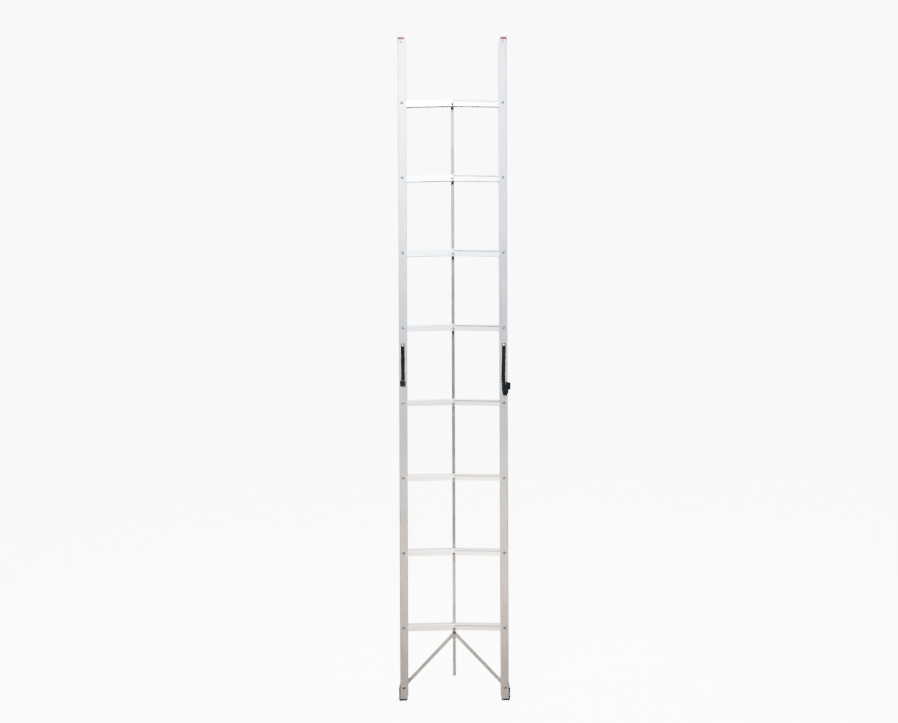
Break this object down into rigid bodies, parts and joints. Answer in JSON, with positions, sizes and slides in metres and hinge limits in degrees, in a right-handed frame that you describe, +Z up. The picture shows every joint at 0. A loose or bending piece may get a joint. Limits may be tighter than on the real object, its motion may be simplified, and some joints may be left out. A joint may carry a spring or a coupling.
{
  "type": "folding ladder",
  "caption": "Side-folding ladder: channel rails joined by rungs hinged in the middle to a rising centre bar, with two braces, red end caps and rubber feet.",
  "frame": {"origin": "on the floor, midway between the rails and midway between their front and back faces", "axes": "+Z up along the rails, +X to the right seen from the front, +Y from front to back"},
  "size_m": [0.4604, 0.096, 2.699],
  "materials": {
    "rail_aluminium": "satin extruded aluminium",
    "rung_aluminium": "satin extruded aluminium, ribbed treads",
    "linkage_steel": "plain zinc-plated pressed steel",
    "rivet_steel": "plated steel rivets",
    "spacer_nylon": "natural nylon",
    "red_plastic": "fine-grained moulded plastic",
    "foot_rubber": "matt moulded rubber",
    "strap_webbing": "woven polyester webbing",
    "buckle_plastic": "moulded plastic"
  },
  "bodies": {
    "left_rail": {"rail_left": "rail_aluminium", "top_cap_left": "red_plastic", "cap_rivet_left": "rivet_steel", "foot_left": "foot_rubber", "foot_rivets_left": "rivet_steel", "rung_pins_left": "rivet_steel", "rung_spacers_left": "spacer_nylon", "brace_foot_pin_left": "rivet_steel", "strap_left": "strap_webbing", "strap_rivet_left": "rivet_steel", "strap_buckle": "buckle_plastic"},
    "right_rail": {"rail_right": "rail_aluminium", "top_cap_right": "red_plastic", "cap_rivet_right": "rivet_steel", "foot_right": "foot_rubber", "foot_rivets_right": "rivet_steel", "rung_pins_right": "rivet_steel", "rung_spacers_right": "spacer_nylon", "brace_foot_pin_right": "rivet_steel", "strap_right": "strap_webbing", "strap_rivet_right": "rivet_steel", "strap_coil": "strap_webbing"},
    "centre": {"centre_bar": "linkage_steel", "centre_pins": "rivet_steel", "centre_spacers": "spacer_nylon"},
    "slider": {"slider": "linkage_steel", "slider_pin": "rivet_steel"},
    "brace_left": {"brace_left": "linkage_steel"},
    "brace_right": {"brace_right": "linkage_steel"},
    "rung_left_1": {"rung_left_1": "rung_aluminium"},
    "rung_left_2": {"rung_left_2": "rung_aluminium"},
    "rung_left_3": {"rung_left_3": "rung_aluminium"},
    "rung_left_4": {"rung_left_4": "rung_aluminium"},
    "rung_left_5": {"rung_left_5": "rung_aluminium"},
    "rung_left_6": {"rung_left_6": "rung_aluminium"},
    "rung_left_7": {"rung_left_7": "rung_aluminium"},
    "rung_left_8": {"rung_left_8": "rung_aluminium"},
    "rung_right_1": {"rung_right_1": "rung_aluminium"},
    "rung_right_2": {"rung_right_2": "rung_aluminium"},
    "rung_right_3": {"rung_right_3": "rung_aluminium"},
    "rung_right_4": {"rung_right_4": "rung_aluminium"},
    "rung_right_5": {"rung_right_5": "rung_aluminium"},
    "rung_right_6": {"rung_right_6": "rung_aluminium"},
    "rung_right_7": {"rung_right_7": "rung_aluminium"},
    "rung_right_8": {"rung_right_8": "rung_aluminium"}
  },
  "joints": [
    {"name": "fold", "type": "hinge", "parent": "left_rail", "child": "rung_left_4", "pos_m": [-0.205, -0.007, 1.2114], "axis": [0, -1, 0], "range_deg": [0, 86.22]},
    {"name": "rung_left_1_hinge", "type": "hinge", "parent": "left_rail", "child": "rung_left_1", "pos_m": [-0.205, -0.007, 0.297], "axis": [0, -1, 0], "range_deg": [0, 86.23]},
    {"name": "rung_left_2_hinge", "type": "hinge", "parent": "left_rail", "child": "rung_left_2", "pos_m": [-0.205, -0.007, 0.6018], "axis": [0, -1, 0], "range_deg": [0, 86.23]},
    {"name": "rung_left_3_hinge", "type": "hinge", "parent": "left_rail", "child": "rung_left_3", "pos_m": [-0.205, -0.007, 0.9066], "axis": [0, -1, 0], "range_deg": [0, 86.23]},
    {"name": "rung_left_5_hinge", "type": "hinge", "parent": "left_rail", "child": "rung_left_5", "pos_m": [-0.205, -0.007, 1.5162], "axis": [0, -1, 0], "range_deg": [0, 86.23]},
    {"name": "rung_left_6_hinge", "type": "hinge", "parent": "left_rail", "child": "rung_left_6", "pos_m": [-0.205, -0.007, 1.821], "axis": [0, -1, 0], "range_deg": [0, 86.23]},
    {"name": "rung_left_7_hinge", "type": "hinge", "parent": "left_rail", "child": "rung_left_7", "pos_m": [-0.205, -0.007, 2.1258], "axis": [0, -1, 0], "range_deg": [0, 86.23]},
    {"name": "rung_left_8_hinge", "type": "hinge", "parent": "left_rail", "child": "rung_left_8", "pos_m": [-0.205, -0.007, 2.4306], "axis": [0, -1, 0], "range_deg": [0, 86.23]},
    {"name": "centre_bar_hinge", "type": "hinge", "parent": "rung_left_4", "child": "centre", "pos_m": [0, -0.007, 1.2074], "axis": [0, 1, 0], "range_deg": [0, 86.23]},
    {"name": "rung_right_1_hinge", "type": "hinge", "parent": "centre", "child": "rung_right_1", "pos_m": [0, -0.007, 0.293], "axis": [0, 1, 0], "range_deg": [0, 86.23]},
    {"name": "rung_right_2_hinge", "type": "hinge", "parent": "centre", "child": "rung_right_2", "pos_m": [0, -0.007, 0.5978], "axis": [0, 1, 0], "range_deg": [0, 86.23]},
    {"name": "rung_right_3_hinge", "type": "hinge", "parent": "centre", "child": "rung_right_3", "pos_m": [0, -0.007, 0.9026], "axis": [0, 1, 0], "range_deg": [0, 86.23]},
    {"name": "rung_right_4_hinge", "type": "hinge", "parent": "centre", "child": "rung_right_4", "pos_m": [0, -0.007, 1.2074], "axis": [0, 1, 0], "range_deg": [0, 86.23]},
    {"name": "rung_right_5_hinge", "type": "hinge", "parent": "centre", "child": "rung_right_5", "pos_m": [0, -0.007, 1.5122], "axis": [0, 1, 0], "range_deg": [0, 86.23]},
    {"name": "rung_right_6_hinge", "type": "hinge", "parent": "centre", "child": "rung_right_6", "pos_m": [0, -0.007, 1.817], "axis": [0, 1, 0], "range_deg": [0, 86.23]},
    {"name": "rung_right_7_hinge", "type": "hinge", "parent": "centre", "child": "rung_right_7", "pos_m": [0, -0.007, 2.1218], "axis": [0, 1, 0], "range_deg": [0, 86.23]},
    {"name": "rung_right_8_hinge", "type": "hinge", "parent": "centre", "child": "rung_right_8", "pos_m": [0, -0.007, 2.4266], "axis": [0, 1, 0], "range_deg": [0, 86.23]},
    {"name": "right_rail_hinge", "type": "hinge", "parent": "rung_right_4", "child": "right_rail", "pos_m": [0.205, -0.007, 1.2114], "axis": [0, -1, 0], "range_deg": [0, 86.23]},
    {"name": "slider_slide", "type": "slide", "parent": "centre", "child": "slider", "axis": [0, 0, -1], "range_m": [0, 0.1267]},
    {"name": "brace_left_hinge", "type": "hinge", "parent": "slider", "child": "brace_left", "pos_m": [0, 0, 0.2695], "axis": [0, -1, 0], "range_deg": [0, 40.34]},
    {"name": "brace_right_hinge", "type": "hinge", "parent": "slider", "child": "brace_right", "pos_m": [0, 0, 0.2695], "axis": [0, 1, 0], "range_deg": [0, 40.34]}
  ],
  "couplings": [
    {"joint": "rung_left_1_hinge", "follows": "fold", "ratio": 1},
    {"joint": "rung_left_2_hinge", "follows": "fold", "ratio": 1},
    {"joint": "rung_left_3_hinge", "follows": "fold", "ratio": 1},
    {"joint": "rung_left_5_hinge", "follows": "fold", "ratio": 1},
    {"joint": "rung_left_6_hinge", "follows": "fold", "ratio": 1},
    {"joint": "rung_left_7_hinge", "follows": "fold", "ratio": 1},
    {"joint": "rung_left_8_hinge", "follows": "fold", "ratio": 1},
    {"joint": "centre_bar_hinge", "follows": "fold", "ratio": 1},
    {"joint": "rung_right_1_hinge", "follows": "fold", "ratio": 1},
    {"joint": "rung_right_2_hinge", "follows": "fold", "ratio": 1},
    {"joint": "rung_right_3_hinge", "follows": "fold", "ratio": 1},
    {"joint": "rung_right_4_hinge", "follows": "fold", "ratio": 1},
    {"joint": "rung_right_5_hinge", "follows": "fold", "ratio": 1},
    {"joint": "rung_right_6_hinge", "follows": "fold", "ratio": 1},
    {"joint": "rung_right_7_hinge", "follows": "fold", "ratio": 1},
    {"joint": "rung_right_8_hinge", "follows": "fold", "ratio": 1},
    {"joint": "right_rail_hinge", "follows": "fold", "ratio": 1},
    {"joint": "slider_slide", "follows": "fold", "m_per_rad": 0.084128},
    {"joint": "brace_left_hinge", "follows": "fold", "ratio": 0.46765},
    {"joint": "brace_right_hinge", "follows": "fold", "ratio": 0.46765}
  ]
}
